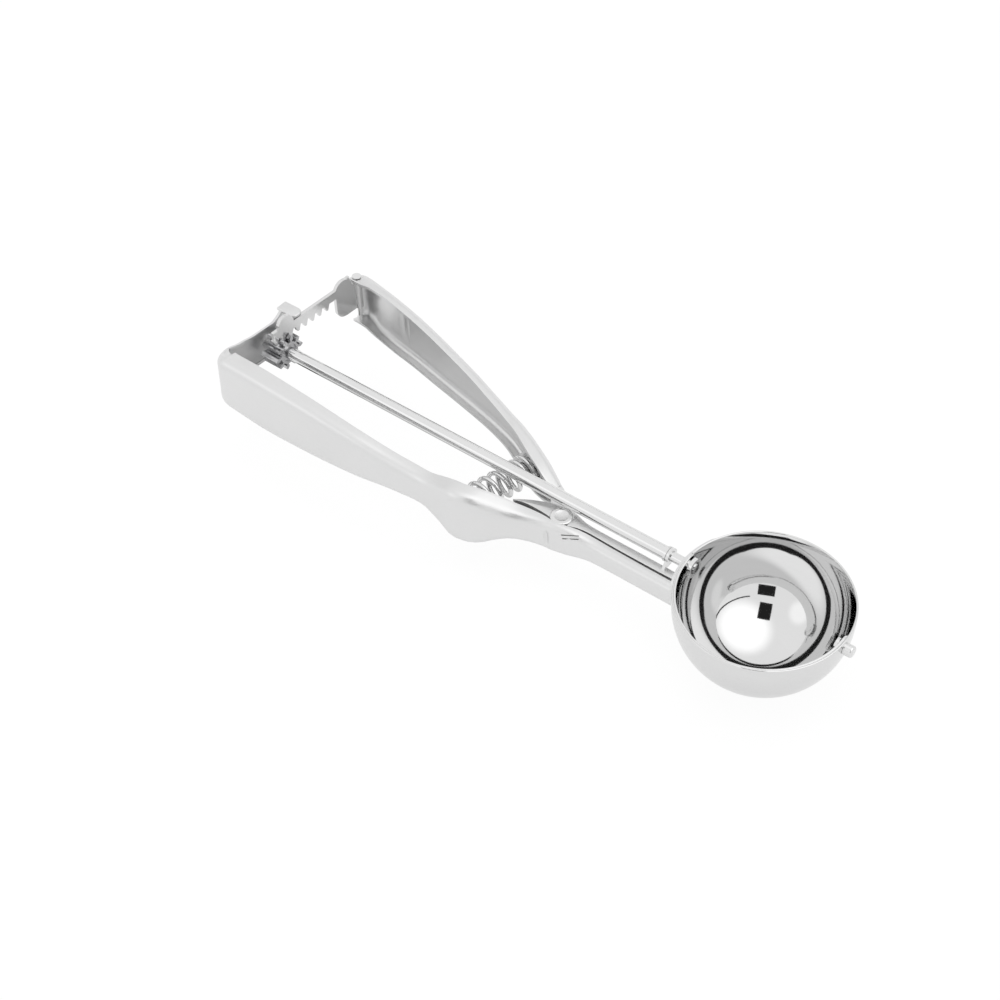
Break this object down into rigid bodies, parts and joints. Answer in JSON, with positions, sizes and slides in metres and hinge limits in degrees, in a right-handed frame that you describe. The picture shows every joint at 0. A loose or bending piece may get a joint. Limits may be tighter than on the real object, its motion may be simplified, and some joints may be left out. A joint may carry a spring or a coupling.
{
  "type": "lever ice cream scoop",
  "caption": "Steel ice cream scoop with two squeeze handles, a rack and pinion that turn a long rod, and a sweep blade that clears the bowl.",
  "frame": {"origin": "centre of the bowl's rim, in the plane of the rim", "axes": "+X along the rod from the handles to the bowl's front pin, +Y from the rod towards the lever, +Z out of the bowl's mouth"},
  "size_m": [0.2144, 0.0617, 0.0378],
  "materials": {
    "handle_steel": "bright polished stainless steel",
    "bowl_steel": "spun and polished",
    "blade_steel": "polished strip",
    "rod_steel": "drawn and polished bar",
    "gear_steel": "moulded metal, satin",
    "rack_steel": "stamped and tumbled",
    "spring_steel": "bright wire",
    "fastener_steel": "turned, satin"
  },
  "bodies": {
    "frame": {"main_handle": "handle_steel", "neck_plate": "handle_steel", "bowl_saddle": "handle_steel", "bowl": "bowl_steel", "rod_guide": "fastener_steel", "rear_bush": "fastener_steel", "front_pin": "fastener_steel", "pivot_rivet": "fastener_steel", "pivot_spacer": "fastener_steel", "pivot_washer": "fastener_steel", "spring_seat_main": "fastener_steel", "return_spring": "spring_steel"},
    "lever": {"lever_handle": "handle_steel", "rack_hinge_pin": "rod_steel", "spring_seat_lever": "fastener_steel"},
    "rack": {"rack": "rack_steel"},
    "sweep": {"drive_rod": "rod_steel", "rod_collar": "rod_steel", "drive_pinion": "gear_steel", "rod_end_ring": "rod_steel", "sweep_blade": "blade_steel", "blade_hub": "blade_steel"}
  },
  "joints": [
    {"name": "lever_pivot", "type": "hinge", "parent": "frame", "child": "lever", "pos_m": [-0.0647, -0.0043, -0.01], "axis": [0, 0, 1], "range_deg": [0, 6.85], "stiffness_Nm_per_rad": 2, "springref_deg": -17.19, "deforming": ["return_spring"]},
    {"name": "rack_hinge", "type": "hinge", "parent": "lever", "child": "rack", "pos_m": [-0.17355, 0.0327, -0.001], "axis": [0, 0, 1], "range_deg": [-1.3, 0]},
    {"name": "sweep_spin", "type": "hinge", "parent": "frame", "child": "sweep", "pos_m": [-0.1, 0, -0.0028], "axis": [1, 0, 0], "range_deg": [0, 154]}
  ],
  "couplings": [
    {"joint": "sweep_spin", "follows": "lever_pivot", "ratio": 22.468},
    {"joint": "rack_hinge", "follows": "lever_pivot", "ratio": -0.1883}
  ]
}
